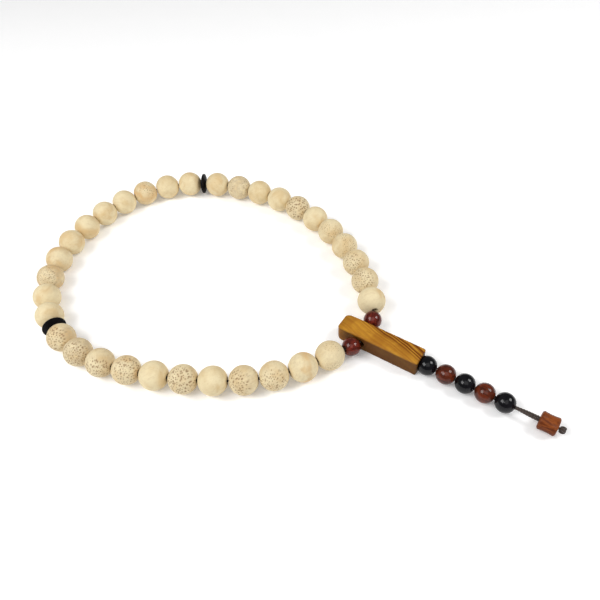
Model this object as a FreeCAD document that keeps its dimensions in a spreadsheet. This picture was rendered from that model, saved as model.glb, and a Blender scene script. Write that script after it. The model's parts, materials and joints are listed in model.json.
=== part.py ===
"""Misbaha: thirty-three wooden beads on a looped cord, with a T-drilled head bead and a beaded tail.

The origin is on the head bead's underside, below the crossing of its two bores.
+Z is up, +Y runs from the head bead towards the far side of the loop, and the tail runs along -Y.
"""
import FreeCAD, Part
import math
import os
import Sketcher
from FreeCAD import Placement, Rotation, Vector

doc = FreeCAD.newDocument("misbaha")

# ---------------------------------------------------------------- driving dimensions, in mm and degrees

SIZES = {
    "bead_width": 10.0,
    "bead_bore": 1.8,
    "bead_ease": 0.4,  # bevel at the mouths of the loop beads' bores
    "disc_width": 8.4,  # separators between the groups of eleven
    "disc_length": 2.2,
    "disc_rim": 0.5,
    "spacer_width": 6.4,  # small beads on either side of the head bead
    "head_width": 7.0,
    "head_height": 7.0,
    "head_loop_end": 9.4,  # from the bores' crossing to the rounded end
    "head_tail_end": 20.9,  # from the bores' crossing to the tail's end
    "head_end_round": 2.0,
    "head_long_round": 0.6,
    "head_tail_bevel": 0.4,
    "head_cross_bore": 3.0,
    "head_axial_bore": 2.4,
    "tail_width": 6.6,
    "tail_pitch": 6.6,  # from one tail bead's middle to the next
    "tail_bore": 1.9,
    "tail_ease": 0.15,
    "dome_flat": 2.2,  # from the domed bead's middle to its flat face
    "barrel_width": 6.1,
    "barrel_waist": 5.7,
    "barrel_length": 5.6,
    "barrel_bevel": 0.5,
    "knot_width": 2.8,
    "knot_flat_angle": 45.0,  # latitude at which the cord enters the knot
    "loop_cord": 1.0,
    "tail_cord": 1.5,  # two strands laid together
    "tail_strand": 0.7,
    "cord_clearance": 0.1,  # between the loop's cord and the tail's bight round it
    "exposed_cord": 7.4,  # bare cord between the last tail bead and the barrel
    "flex_gap": 0.3,  # break in the cord at each flexing point
}

sheet = doc.addObject("Spreadsheet::Sheet", "Sizes")
for row, (alias, value) in enumerate(SIZES.items(), start=1):
    sheet.set(f"A{row}", alias.replace("_", " "))
    sheet.set(f"B{row}", str(value))
    sheet.setAlias(f"B{row}", alias)
doc.recompute()


def size(alias):
    return float(sheet.get(alias))


GROUP = 11  # beads between one separator and the next
BEADS = 3 * GROUP
UP = Vector(0, 0, 1)

# ---------------------------------------------------------------- the loop's route

CROSSING_HEIGHT = size("head_height") / 2
LOOP_HEIGHT = size("bead_width") / 2
HEAD_CLEARANCE = 0.4  # from the head bead's side to the first bend
SPACER_RUN = 6.8  # from bend to bend, where a spacer sits
END_BEAD_RUN = 10.0  # from bend to bend, where the first and the last bead sit
HEAD_BEND_RADIUS = 7.0
RIGHT_SPACER_BEARING = 16.5  # degrees from +X
FIRST_BEAD_BEARING = 42.0
LOOP_ARCS = [  # radius and turn of each, anticlockwise from the first bead
    (79.0, 70.72),
    (44.0, 48.99),
    (57.5, 43.07),
    (45.5, 77.38),
    (125.0, 21.18),
    (59.0, 27.48),
]

# The loop folds across four lines, each through one gap on its right side and one on its left.
FOLDS = [("bead_04", "bead_29"), ("bead_06", "bead_27"), ("bead_08", "bead_25"), ("bead_10", "bead_23")]
FOLD_ROOM = 0.18  # added to the gap at each end of a fold line
END_ROOM = 0.06  # added to the gap between a spacer and its neighbouring bead


class Run:
    """A straight stretch of cord."""

    def __init__(self, start, heading, length):
        self.start, self.along, self.length = start, heading, length

    def point(self, distance):
        return self.start + self.along * distance

    def heading(self, distance):
        return self.along

    def edge(self, low, high):
        return Part.LineSegment(self.point(low), self.point(high)).toShape()


class Bend:
    """A stretch of cord that turns about an axis at one radius."""

    def __init__(self, start, heading, axis, radius, degrees):
        self.axis, self.radius = axis, radius
        self.centre = start + axis.cross(heading) * radius
        self.spoke = start - self.centre
        self.along = heading
        self.length = radius * math.radians(degrees)

    def turned(self, vector, distance):
        return Rotation(self.axis, math.degrees(distance / self.radius)).multVec(vector)

    def point(self, distance):
        return self.centre + self.turned(self.spoke, distance)

    def heading(self, distance):
        return self.turned(self.along, distance)

    def edge(self, low, high):
        middle = self.point((low + high) / 2)
        return Part.Arc(self.point(low), middle, self.point(high)).toShape()


def unit(vector):
    return Vector(vector).normalize()


def bearing(degrees):
    return Vector(math.cos(math.radians(degrees)), math.sin(math.radians(degrees)), 0)


def end_of(piece):
    return piece.point(piece.length), piece.heading(piece.length)


def rounded_polyline(points, radius):
    """Runs between the points, joined by tangent bends of one radius."""
    pieces = []
    start = points[0]
    for before, corner, after in zip(points, points[1:], points[2:]):
        into, out = unit(corner - before), unit(after - corner)
        turn = into.getAngle(out)
        trim = radius * math.tan(turn / 2)
        pieces.append(Run(start, into, (corner - start).Length - trim))
        bend = Bend(end_of(pieces[-1])[0], into, unit(into.cross(out)), radius, math.degrees(turn))
        pieces.append(bend)
        start = end_of(bend)[0]
    last = points[-1] - start
    pieces.append(Run(start, unit(last), last.Length))
    return pieces


def loop_route():
    """The loop's cord from the bores' crossing, out of the head bead's +X side and round to its -X side."""
    crossing = Vector(0, 0, CROSSING_HEIGHT)
    reach = size("head_width") / 2 + HEAD_CLEARANCE
    rise = LOOP_HEIGHT - CROSSING_HEIGHT
    level_run = math.sqrt(SPACER_RUN ** 2 - rise ** 2)
    right_exit = crossing + Vector(reach, 0, 0)
    right_spacer_end = right_exit + bearing(RIGHT_SPACER_BEARING) * level_run + UP * rise
    first_bead_end = right_spacer_end + bearing(FIRST_BEAD_BEARING) * END_BEAD_RUN
    right = rounded_polyline([crossing, right_exit, right_spacer_end, first_bead_end], HEAD_BEND_RADIUS)
    arcs = []
    for radius, turn in LOOP_ARCS:
        start, heading = end_of((right + arcs)[-1])
        arcs.append(Bend(start, heading, UP, radius, turn))
    start, heading = end_of(arcs[-1])
    left_spacer_end = start + heading * END_BEAD_RUN
    left_exit = crossing - Vector(reach, 0, 0)
    left = rounded_polyline([start, left_spacer_end, left_exit, crossing], HEAD_BEND_RADIUS)
    return right, arcs, left


def place(route, station):
    """The point and heading at a distance along a route."""
    for piece in route:
        if station <= piece.length:
            return piece.point(station), piece.heading(station)
        station -= piece.length
    raise ValueError("station beyond the route's end")


def stretch(route, low, high):
    """The edges of a route between two stations."""
    edges = []
    start = 0.0
    for piece in route:
        begin, finish = max(low - start, 0.0), min(high - start, piece.length)
        if finish - begin > 1e-6:
            edges.append(piece.edge(begin, finish))
        start += piece.length
    return edges


right_pieces, arc_pieces, left_pieces = loop_route()
route = right_pieces + arc_pieces + left_pieces
route_length = sum(piece.length for piece in route)
SPACER_BEND = 3  # index of the bend between a spacer and its neighbouring bead
EXIT_BEND = 1  # and of the bend between the head bead and a spacer


def bend_middle(pieces, index):
    return sum(piece.length for piece in pieces[:index]) + pieces[index].length / 2


left_from_crossing = left_pieces[::-1]
first_gap = bend_middle(right_pieces, SPACER_BEND)
last_gap = route_length - bend_middle(left_from_crossing, SPACER_BEND)
right_run = (first_gap + bend_middle(right_pieces, EXIT_BEND)) / 2  # the spacers' stations
left_run = (last_gap + route_length - bend_middle(left_from_crossing, EXIT_BEND)) / 2



def ball_length(width, bore, ease):
    """Length of a ball along its bore, from mouth to mouth."""
    return 2 * math.sqrt((size(width) / 2) ** 2 - (size(bore) / 2 + size(ease)) ** 2)


loop_items = []
for number in range(1, BEADS + 1):
    loop_items.append((f"bead_{number:02d}", ball_length("bead_width", "bead_bore", "bead_ease")))
    if number % GROUP == 0 and number < BEADS:
        loop_items.append((f"separator_{number // GROUP}", size("disc_length")))
folding_gaps = [name for fold in FOLDS for name in fold]
free_length = last_gap - first_gap - 2 * END_ROOM - sum(length for _, length in loop_items)
loop_gap = (free_length - FOLD_ROOM * len(folding_gaps)) / len(loop_items)

stations = {}  # middle of each loop piece
gap_after = {}  # middle of the gap that follows it
station = first_gap + END_ROOM + loop_gap / 2
for name, length in loop_items:
    gap = loop_gap + (FOLD_ROOM if name in folding_gaps else 0)
    stations[name] = station + length / 2
    gap_after[name] = station + length + gap / 2
    station += length + gap

# ---------------------------------------------------------------- the tail's line

TAIL_DROP = 0.45  # degrees that the tail falls by, from the head bead to the table
BLOCK_GAP = 0.1  # between the head bead's end and the domed bead's flat face
TAIL_BEADS = 5

tail_pitch = size("tail_pitch")
tail_back = Vector(0, 1, 0)
dome_middle = Vector(0, -(size("head_tail_end") + BLOCK_GAP + size("dome_flat")), CROSSING_HEIGHT)
tail_start = dome_middle - tail_back * (tail_pitch / 2)
tail_heading = Rotation(Vector(1, 0, 0), TAIL_DROP).multVec(-tail_back)
exposed_start = tail_pitch * (TAIL_BEADS - 1)
barrel_start = exposed_start + size("exposed_cord")
knot_gap = 0.2
knot_entry = barrel_start + size("barrel_length") + knot_gap


def tail_point(distance):
    """A point on the tail's line, measured from its first flexing point."""
    return tail_start + tail_heading * distance


# ---------------------------------------------------------------- builders

parts = []


def along(point, heading):
    return Placement(point, Rotation(UP, heading))


def keep(item, name, placement=None):
    """Names a finished sub-part and puts it in its place."""
    item.Label = name
    if placement is not None:
        item.Placement = placement
    parts.append(item)
    return item


def plane(body, role):
    return next(item for item in body.Origin.OriginFeatures if item.Role == role)


def new_sketch(body, role, name):
    sketch = body.newObject("Sketcher::SketchObject", name)
    sketch.AttachmentSupport = [(plane(body, role), "")]
    sketch.MapMode = "FlatFace"
    return sketch


def bound(sketch, name, constraint, expression):
    """Adds a constraint whose value follows the sheet."""
    index = sketch.addConstraint(constraint)
    sketch.renameConstraint(index, name)
    sketch.setExpression(f"Constraints.{name}", expression)


def join_ends(sketch, pairs):
    for first, first_end, second, second_end in pairs:
        sketch.addConstraint(Sketcher.Constraint("Coincident", first, first_end, second, second_end))


def revolve(body, sketch):
    turned = body.newObject("PartDesign::Revolution", "Turned")
    turned.Profile = sketch
    turned.ReferenceAxis = (sketch, ["V_Axis"])
    turned.Angle = 360
    sketch.Visibility = False
    return turned


X_AXIS, ORIGIN_POINT, ON_LINE = -1, 1, 0


def turned_bead(name, width, bore, ease, placement):
    """A ball with a bevelled bore along its own Z."""
    body = doc.addObject("PartDesign::Body", name)
    sketch = new_sketch(body, "XZ_Plane", "Profile")
    radius, bore_radius, bevel = size(width) / 2, size(bore) / 2, size(ease)
    mouth = bore_radius + bevel
    half = ball_length(width, bore, ease) / 2
    angle = math.atan2(half, mouth)
    corners = [Vector(mouth, half), Vector(bore_radius, half - bevel),
               Vector(bore_radius, bevel - half), Vector(mouth, -half)]
    sketch.addGeometry(Part.ArcOfCircle(Part.Circle(Vector(), UP, radius), -angle, angle))
    for first, second in zip(corners, corners[1:]):
        sketch.addGeometry(Part.LineSegment(first, second))
    join_ends(sketch, [(0, 2, 1, 1), (1, 2, 2, 1), (2, 2, 3, 1), (3, 2, 0, 1)])
    sketch.addConstraint(Sketcher.Constraint("Coincident", 0, 3, X_AXIS, ORIGIN_POINT))
    sketch.addConstraint(Sketcher.Constraint("Symmetric", 2, 1, 2, 2, X_AXIS))
    bound(sketch, "radius", Sketcher.Constraint("Radius", 0, radius), f"Sizes.{width} / 2")
    bound(sketch, "bore_radius", Sketcher.Constraint("DistanceX", X_AXIS, ORIGIN_POINT, 2, 1, bore_radius),
          f"Sizes.{bore} / 2")
    for side, ends in (("top", (2, 1, 0, 2)), ("bottom", (2, 2, 0, 1))):
        bound(sketch, f"{side}_mouth", Sketcher.Constraint("DistanceX", *ends, bevel), f"Sizes.{ease}")
    bound(sketch, "bevel", Sketcher.Constraint("DistanceY", 2, 1, 0, 2, bevel), f"Sizes.{ease}")
    revolve(body, sketch)
    return keep(body, name, placement)


def domed_bead(name, placement):
    """The tail's first bead: a ball with a flat face (local +Z) against the head bead."""
    body = doc.addObject("PartDesign::Body", name)
    sketch = new_sketch(body, "XZ_Plane", "Profile")
    radius, bore_radius, flat = size("tail_width") / 2, size("tail_bore") / 2, size("dome_flat")
    low = math.sqrt(radius ** 2 - bore_radius ** 2)
    edge_x = math.sqrt(radius ** 2 - flat ** 2)
    low_angle, high_angle = math.atan2(-low, bore_radius), math.atan2(flat, edge_x)
    sketch.addGeometry(Part.ArcOfCircle(Part.Circle(Vector(), UP, radius), low_angle, high_angle))
    corners = [Vector(edge_x, flat), Vector(bore_radius, flat), Vector(bore_radius, -low)]
    for first, second in zip(corners, corners[1:]):
        sketch.addGeometry(Part.LineSegment(first, second))
    join_ends(sketch, [(0, 2, 1, 1), (1, 2, 2, 1), (2, 2, 0, 1)])
    sketch.addConstraint(Sketcher.Constraint("Coincident", 0, 3, X_AXIS, ORIGIN_POINT))
    sketch.addConstraint(Sketcher.Constraint("Horizontal", 1))
    sketch.addConstraint(Sketcher.Constraint("Vertical", 2))
    bound(sketch, "radius", Sketcher.Constraint("Radius", 0, radius), "Sizes.tail_width / 2")
    bound(sketch, "bore_radius", Sketcher.Constraint("DistanceX", X_AXIS, ORIGIN_POINT, 2, 1, bore_radius),
          "Sizes.tail_bore / 2")
    bound(sketch, "flat", Sketcher.Constraint("DistanceY", X_AXIS, ORIGIN_POINT, 2, 1, flat), "Sizes.dome_flat")
    revolve(body, sketch)
    return keep(body, name, placement)


def separator(name, placement):
    """A lens: two equal balls' overlap, trimmed by a rim and drilled."""
    rim = size("disc_width") / 2
    rise = (size("disc_length") - size("disc_rim")) / 2
    ball = (rim ** 2 + rise ** 2) / (2 * rise)
    ball_text = ("((Sizes.disc_width / 2)^2 + ((Sizes.disc_length - Sizes.disc_rim) / 2)^2)"
                 " / (Sizes.disc_length - Sizes.disc_rim)")
    shapes = []
    for side in (-1, 1):
        sphere = doc.addObject("Part::Sphere", f"{name}_ball")
        sphere.Radius = ball
        sphere.setExpression("Radius", ball_text)
        sphere.setExpression("Placement.Base.z", f"{side} * ({ball_text} - Sizes.disc_length / 2)")
        shapes.append(sphere)
    blank = doc.addObject("Part::Cylinder", f"{name}_blank")
    blank.setExpression("Radius", "Sizes.disc_width / 2")
    blank.setExpression("Height", "2 * Sizes.disc_length")
    blank.setExpression("Placement.Base.z", "-Sizes.disc_length")
    lens = doc.addObject("Part::MultiCommon", f"{name}_lens")
    lens.Shapes = shapes + [blank]
    drill = doc.addObject("Part::Cylinder", f"{name}_drill")
    drill.setExpression("Radius", "Sizes.bead_bore / 2")
    drill.setExpression("Height", "2 * Sizes.disc_length")
    drill.setExpression("Placement.Base.z", "-Sizes.disc_length")
    disc = doc.addObject("Part::Cut", name)
    disc.Base, disc.Tool = lens, drill
    return keep(disc, name, placement)


def barrel(name, placement):
    """A short turned barrel with bevelled ends and a slight waist."""
    body = doc.addObject("PartDesign::Body", name)
    sketch = new_sketch(body, "XZ_Plane", "Profile")
    bore_radius, half, bevel = size("tail_bore") / 2, size("barrel_length") / 2, size("barrel_bevel")
    rim, waist = size("barrel_width") / 2, size("barrel_waist") / 2
    top = half - bevel
    dip = rim - waist
    radius = (dip ** 2 + top ** 2) / (2 * dip)
    centre = Vector(waist + radius, 0, 0)
    angle = math.asin(top / radius)
    sketch.addGeometry(Part.ArcOfCircle(Part.Circle(centre, UP, radius), math.pi - angle, math.pi + angle))
    corners = [Vector(rim, -top), Vector(rim - bevel, -half), Vector(bore_radius, -half),
               Vector(bore_radius, half), Vector(rim - bevel, half), Vector(rim, top)]
    for first, second in zip(corners, corners[1:]):
        sketch.addGeometry(Part.LineSegment(first, second))
    join_ends(sketch, [(0, 2, 1, 1), (1, 2, 2, 1), (2, 2, 3, 1), (3, 2, 4, 1), (4, 2, 5, 1), (5, 2, 0, 1)])
    sketch.addConstraint(Sketcher.Constraint("Symmetric", 0, 1, 0, 2, X_AXIS))
    sketch.addConstraint(Sketcher.Constraint("Symmetric", 3, 1, 3, 2, X_AXIS))
    sketch.addConstraint(Sketcher.Constraint("Horizontal", 2))
    sketch.addConstraint(Sketcher.Constraint("Symmetric", 1, 2, 5, 1, X_AXIS))
    bound(sketch, "bore_radius", Sketcher.Constraint("DistanceX", X_AXIS, ORIGIN_POINT, 3, 1, bore_radius),
          "Sizes.tail_bore / 2")
    bound(sketch, "length", Sketcher.Constraint("DistanceY", 3, 1, 3, 2, 2 * half), "Sizes.barrel_length")
    bound(sketch, "rim", Sketcher.Constraint("DistanceX", X_AXIS, ORIGIN_POINT, 0, 1, rim), "Sizes.barrel_width / 2")
    bound(sketch, "bevel_in", Sketcher.Constraint("DistanceX", 5, 1, 0, 1, bevel), "Sizes.barrel_bevel")
    bound(sketch, "bevel_up", Sketcher.Constraint("DistanceY", 0, 1, 5, 1, bevel), "Sizes.barrel_bevel")
    half_text = "(Sizes.barrel_length / 2 - Sizes.barrel_bevel)"
    dip_text = "((Sizes.barrel_width - Sizes.barrel_waist) / 2)"
    bound(sketch, "hollow", Sketcher.Constraint("Radius", 0, radius),
          f"({dip_text}^2 + {half_text}^2) / (2 * {dip_text})")
    revolve(body, sketch)
    return keep(body, name, placement)


def drilled(body, role, offset, diameter, length, inside, name):
    """A round pocket from a plane, cut the way that takes away the point inside it."""
    sketch = new_sketch(body, role, f"{name}_circle")
    sketch.AttachmentOffset = Placement(offset, Rotation())
    sketch.addGeometry(Part.Circle(Vector(0, size("head_height") / 2, 0), UP, size(diameter) / 2))
    sketch.addConstraint(Sketcher.Constraint("PointOnObject", 0, 3, -2))
    bound(sketch, "height", Sketcher.Constraint("DistanceY", X_AXIS, ORIGIN_POINT, 0, 3, CROSSING_HEIGHT),
          "Sizes.head_height / 2")
    bound(sketch, "width", Sketcher.Constraint("Diameter", 0, size(diameter)), f"Sizes.{diameter}")
    pocket = body.newObject("PartDesign::Pocket", name)
    pocket.Profile = sketch
    pocket.Length = 1.0
    pocket.setExpression("Length", length)
    for way in (False, True):
        pocket.Reversed = way
        doc.recompute()
        if not body.Tip.Shape.isInside(inside, 1e-6, False):
            return pocket
    raise RuntimeError(f"{name} misses its bore")


def edges_where(shape, test):
    return [f"Edge{index}" for index, edge in enumerate(shape.Edges, start=1) if test(edge)]


def head_bead(name):
    """The long head bead: a bar with a rounded loop end, a cross bore and an axial bore that meet."""
    body = doc.addObject("PartDesign::Body", name)
    section = new_sketch(body, "XZ_Plane", "Section")
    half, height = size("head_width") / 2, size("head_height")
    corners = [Vector(-half, 0), Vector(half, 0), Vector(half, height), Vector(-half, height)]
    for first, second in zip(corners, corners[1:] + corners[:1]):
        section.addGeometry(Part.LineSegment(first, second))
    join_ends(section, [(0, 2, 1, 1), (1, 2, 2, 1), (2, 2, 3, 1), (3, 2, 0, 1)])
    for line, kind in enumerate(("Horizontal", "Vertical", "Horizontal", "Vertical")):
        section.addConstraint(Sketcher.Constraint(kind, line))
    section.addConstraint(Sketcher.Constraint("Symmetric", 0, 1, 0, 2, X_AXIS, ORIGIN_POINT))
    bound(section, "width", Sketcher.Constraint("DistanceX", 0, 1, 0, 2, 2 * half), "Sizes.head_width")
    bound(section, "height", Sketcher.Constraint("DistanceY", 1, 1, 1, 2, height), "Sizes.head_height")
    section.setExpression("AttachmentOffset.Base.z", "-Sizes.head_loop_end")
    bar = body.newObject("PartDesign::Pad", "Bar")
    bar.Profile = section
    bar.Length = 1.0
    bar.setExpression("Length", "Sizes.head_loop_end + Sizes.head_tail_end")
    doc.recompute()

    loop_end, tail_end = size("head_loop_end"), -size("head_tail_end")
    at_loop_end = edges_where(bar.Shape, lambda edge: abs(edge.BoundBox.YMin - loop_end) < 0.01)
    rounded = body.newObject("PartDesign::Fillet", "LoopEnd")
    rounded.Base = (bar, at_loop_end)
    rounded.Radius = 1.0
    rounded.setExpression("Radius", "Sizes.head_end_round")
    doc.recompute()

    def is_long(edge):
        return edge.BoundBox.YLength > 0.8 * (loop_end - tail_end)

    eased = body.newObject("PartDesign::Fillet", "LongEdges")
    eased.Base = (rounded, edges_where(rounded.Shape, is_long))
    eased.Radius = 0.1
    eased.setExpression("Radius", "Sizes.head_long_round")
    doc.recompute()
    at_tail_end = edges_where(eased.Shape, lambda edge: abs(edge.BoundBox.YMax - tail_end) < 0.01)
    bevelled = body.newObject("PartDesign::Chamfer", "TailEnd")
    bevelled.Base = (eased, at_tail_end)
    bevelled.Size = 0.1
    bevelled.setExpression("Size", "Sizes.head_tail_bevel")
    doc.recompute()
    crossing = Vector(0, 0, CROSSING_HEIGHT)
    drilled(body, "YZ_Plane", Vector(0, 0, -half - 1), "head_cross_bore", "Sizes.head_width + 2", crossing,
            "CrossBore")
    drilled(body, "XZ_Plane", Vector(), "head_axial_bore", "Sizes.head_tail_end + 1",
            crossing + Vector(0, tail_end / 2, 0), "AxialBore")
    return keep(body, name)


def tube(edges, diameter):
    """A round cord along a path of tangent edges, checked against its section times its length."""
    path = Part.Wire(Part.__sortEdges__(edges))
    first = edges[0]
    start, heading = first.valueAt(first.FirstParameter), first.tangentAt(first.FirstParameter)
    section = Part.Wire([Part.Circle(start, heading, diameter / 2).toShape()])
    solid = path.makePipeShell([section], True, False)
    expected = math.pi * diameter ** 2 / 4 * path.Length
    if abs(solid.Volume - expected) > 0.01 * expected:
        raise RuntimeError(f"cord tube holds {solid.Volume:.2f} mm3, not {expected:.2f}")
    return solid


def rod(start, end, diameter):
    return Part.makeCylinder(diameter / 2, (end - start).Length, start, end - start)


def cord(name, shape):
    feature = doc.addObject("Part::Feature", name)
    feature.Shape = shape
    return keep(feature, name)


# ---------------------------------------------------------------- loop pieces

for name, _ in loop_items:
    spot = along(*place(route, stations[name]))
    if name.startswith("bead"):
        turned_bead(name, "bead_width", "bead_bore", "bead_ease", spot)
    else:
        separator(name, spot)

for name, station in (("spacer_bead_right", right_run), ("spacer_bead_left", left_run)):
    spot = along(*place(route, station))
    turned_bead(name, "spacer_width", "bead_bore", "bead_ease", spot)

head_bead("head_bead")

break_half = size("flex_gap") / 2
right_cuts = [gap_after[right] for right, _ in FOLDS]
left_cuts = [gap_after[left] for _, left in FOLDS]
front = stretch(route, left_cuts[0] + break_half, route_length) + stretch(route, 0, right_cuts[0] - break_half)
cord("loop_cord_front", tube(front, size("loop_cord")))
for strip in range(1, len(FOLDS)):
    right_side = stretch(route, right_cuts[strip - 1] + break_half, right_cuts[strip] - break_half)
    left_side = stretch(route, left_cuts[strip] + break_half, left_cuts[strip - 1] - break_half)
    cord(f"loop_cord_right_{strip}", tube(right_side, size("loop_cord")))
    cord(f"loop_cord_left_{strip}", tube(left_side, size("loop_cord")))
back = stretch(route, right_cuts[-1] + break_half, left_cuts[-1] - break_half)
cord("loop_cord_back", tube(back, size("loop_cord")))

# ---------------------------------------------------------------- tail pieces

domed_bead("tail_bead_1", along(dome_middle, tail_back))
for number in range(2, TAIL_BEADS + 1):
    middle = tail_point(tail_pitch * (number - 1.5))
    turned_bead(f"tail_bead_{number}", "tail_width", "tail_bore", "tail_ease", along(middle, tail_heading))
    low, high = tail_pitch * (number - 2) + break_half, tail_pitch * (number - 1) - break_half
    cord(f"tail_cord_{number}", rod(tail_point(low), tail_point(high), size("tail_cord")))

bight_radius = size("loop_cord") / 2 + size("cord_clearance") + size("tail_strand") / 2
crossing = Vector(0, 0, CROSSING_HEIGHT)
bight = Part.makeTorus(bight_radius, size("tail_strand") / 2, crossing, Vector(1, 0, 0))
shank_start = crossing - tail_back * (bight_radius + size("tail_strand") / 4)
shank = rod(shank_start, tail_start + tail_back * break_half, size("tail_cord"))
cord("tail_cord_head", bight.fuse(shank))

cord("tail_cord_end", rod(tail_point(exposed_start + break_half), tail_point(knot_entry), size("tail_cord")))

barrel("barrel_bead", along(tail_point(barrel_start + size("barrel_length") / 2), tail_heading))

knot = doc.addObject("Part::Sphere", "end_knot")
knot.setExpression("Radius", "Sizes.knot_width / 2")
knot.setExpression("Angle2", "Sizes.knot_flat_angle")
knot_depth = size("knot_width") / 2 * math.sin(math.radians(size("knot_flat_angle")))
keep(knot, "end_knot", along(tail_point(knot_entry + knot_depth), -tail_heading))

# ---------------------------------------------------------------- checks and export

doc.recompute()
for item in doc.Objects:
    if "Invalid" in item.State or "Error" in item.State:
        raise RuntimeError(f"{item.Name} failed: {item.State}")
for item in parts:
    if item.Shape.isNull() or not item.Shape.isValid() or item.Shape.Volume <= 0:
        raise RuntimeError(f"{item.Label} has no valid shape")

bends = sorted({round(piece.radius, 1) for piece in route if isinstance(piece, Bend)})
print(f"{len(parts)} sub-parts; loop cord {route_length:.1f} mm, bend radii {bends} mm, gap {loop_gap:.3f} mm")
spacer_runs = [right_pieces[2].length, left_pieces[2].length]
print(f"straight runs at the spacers {spacer_runs[0]:.2f} and {spacer_runs[1]:.2f} mm")
print(f"tail {knot_entry:.1f} mm from its first flexing point to the knot")

os.makedirs("parts", exist_ok=True)
for item in parts:
    item.Shape.exportStep(f"parts/{item.Label}.step")
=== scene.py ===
"""Misbaha (prayer beads): the looks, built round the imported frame.

Pored cane-like loop beads, polished small beads, a two-tone head bead and laid cords. Lengths inside the mesh
helpers are in millimetres and in each piece's own axes; places in the scene are in metres.
"""
import json
import math
import bpy
import numpy as np
from mathutils import Matrix, Vector

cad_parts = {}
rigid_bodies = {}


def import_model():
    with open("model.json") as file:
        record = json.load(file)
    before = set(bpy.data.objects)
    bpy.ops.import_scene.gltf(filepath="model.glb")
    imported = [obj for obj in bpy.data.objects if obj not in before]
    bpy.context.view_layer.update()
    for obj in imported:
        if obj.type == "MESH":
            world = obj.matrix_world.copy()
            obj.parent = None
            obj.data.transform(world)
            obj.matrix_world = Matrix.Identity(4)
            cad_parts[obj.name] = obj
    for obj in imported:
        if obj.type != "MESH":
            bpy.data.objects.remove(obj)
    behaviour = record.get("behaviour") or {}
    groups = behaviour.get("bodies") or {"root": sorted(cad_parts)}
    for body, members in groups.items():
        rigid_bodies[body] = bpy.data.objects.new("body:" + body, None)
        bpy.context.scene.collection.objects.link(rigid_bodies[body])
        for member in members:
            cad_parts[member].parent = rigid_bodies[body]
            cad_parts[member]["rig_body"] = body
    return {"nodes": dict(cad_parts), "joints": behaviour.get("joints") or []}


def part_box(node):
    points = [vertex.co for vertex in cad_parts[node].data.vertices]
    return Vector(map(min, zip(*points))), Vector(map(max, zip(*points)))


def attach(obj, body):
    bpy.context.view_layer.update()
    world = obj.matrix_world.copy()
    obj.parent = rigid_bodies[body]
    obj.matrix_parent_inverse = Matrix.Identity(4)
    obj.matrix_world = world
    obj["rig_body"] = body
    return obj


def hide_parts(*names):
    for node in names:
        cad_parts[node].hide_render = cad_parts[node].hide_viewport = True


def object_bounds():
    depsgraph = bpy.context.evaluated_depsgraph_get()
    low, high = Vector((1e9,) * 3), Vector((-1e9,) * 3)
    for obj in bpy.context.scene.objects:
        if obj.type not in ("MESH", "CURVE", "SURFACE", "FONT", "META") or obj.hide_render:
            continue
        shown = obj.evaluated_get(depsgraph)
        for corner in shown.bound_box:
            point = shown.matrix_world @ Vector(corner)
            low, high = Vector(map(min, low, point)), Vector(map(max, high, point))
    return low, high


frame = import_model()
cad_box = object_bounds()

MM = 0.001
joints = {joint["name"]: joint for joint in frame["joints"]}
LOOP_BEADS = 33
GROUP = 11

# ---------------------------------------------------------------- camera

CAMERA_PLACE = Vector((-109.9, -55.9, 164.6)) * MM
CAMERA_BEARING = 53.14  # degrees from +Y towards +X
CAMERA_PITCH = 48.98  # degrees below the horizon
CAMERA_ROLL = -4.47
CAMERA_LENS = 35.25

bearing, pitch, roll = (math.radians(value) for value in (CAMERA_BEARING, CAMERA_PITCH, CAMERA_ROLL))
forward = Vector((math.sin(bearing) * math.cos(pitch), math.cos(bearing) * math.cos(pitch), -math.sin(pitch)))
level_right = Vector((math.cos(bearing), -math.sin(bearing), 0))
level_up = level_right.cross(forward)
right = math.cos(roll) * level_right + math.sin(roll) * level_up
up = right.cross(forward)

camera = bpy.data.objects.new("camera", bpy.data.cameras.new("camera"))
bpy.context.scene.collection.objects.link(camera)
camera.data.lens = CAMERA_LENS
camera.data.clip_start = 0.01
camera.matrix_world = Matrix.Translation(CAMERA_PLACE) @ Matrix((right, up, -forward)).transposed().to_4x4()
bpy.context.scene.camera = camera

# ---------------------------------------------------------------- places along the cords


class Spot:
    """A point on a cord's line and the line's heading there."""

    def __init__(self, point, heading):
        self.point, self.heading = Vector(point), Vector(heading).normalized()


def spin_spot(node):
    """Where a threaded piece sits on its cord, and the cord's heading there."""
    joint = joints[f"{node}_spin"]
    return Spot(joint["pos_m"], joint["axis"])


def between(first, second, share):
    """A point on the smooth line from one spot to the next."""
    reach = (second.point - first.point).length
    a, b = first.point, second.point
    s, t = share, 1 - share
    return (a * (1 + 2 * s) * t * t + b * (3 - 2 * s) * s * s
            + first.heading * (reach * s * t * t) - second.heading * (reach * s * s * t))


LINE_STEP = 0.15 * MM


def smooth_line(spots):
    """Points close together on the smooth line through the spots."""
    points = []
    for first, second in zip(spots, spots[1:]):
        count = max(2, round((second.point - first.point).length / LINE_STEP))
        points += [between(first, second, index / count) for index in range(count)]
    points.append(spots[-1].point.copy())
    return points


def middle_spot(first, second):
    """The spot halfway between two others."""
    ahead, behind = between(first, second, 0.51), between(first, second, 0.49)
    return Spot(between(first, second, 0.5), ahead - behind)


loop_order = []
for number in range(1, LOOP_BEADS + 1):
    loop_order.append(f"bead_{number:02d}")
    if number % GROUP == 0 and number < LOOP_BEADS:
        loop_order.append(f"separator_{number // GROUP}")
loop_spots = {name: spin_spot(name) for name in ["spacer_bead_right", *loop_order, "spacer_bead_left"]}
crossing = Spot(joints["loop_swing"]["pos_m"], (1, 0, 0))

# ---------------------------------------------------------------- mesh helpers


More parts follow.
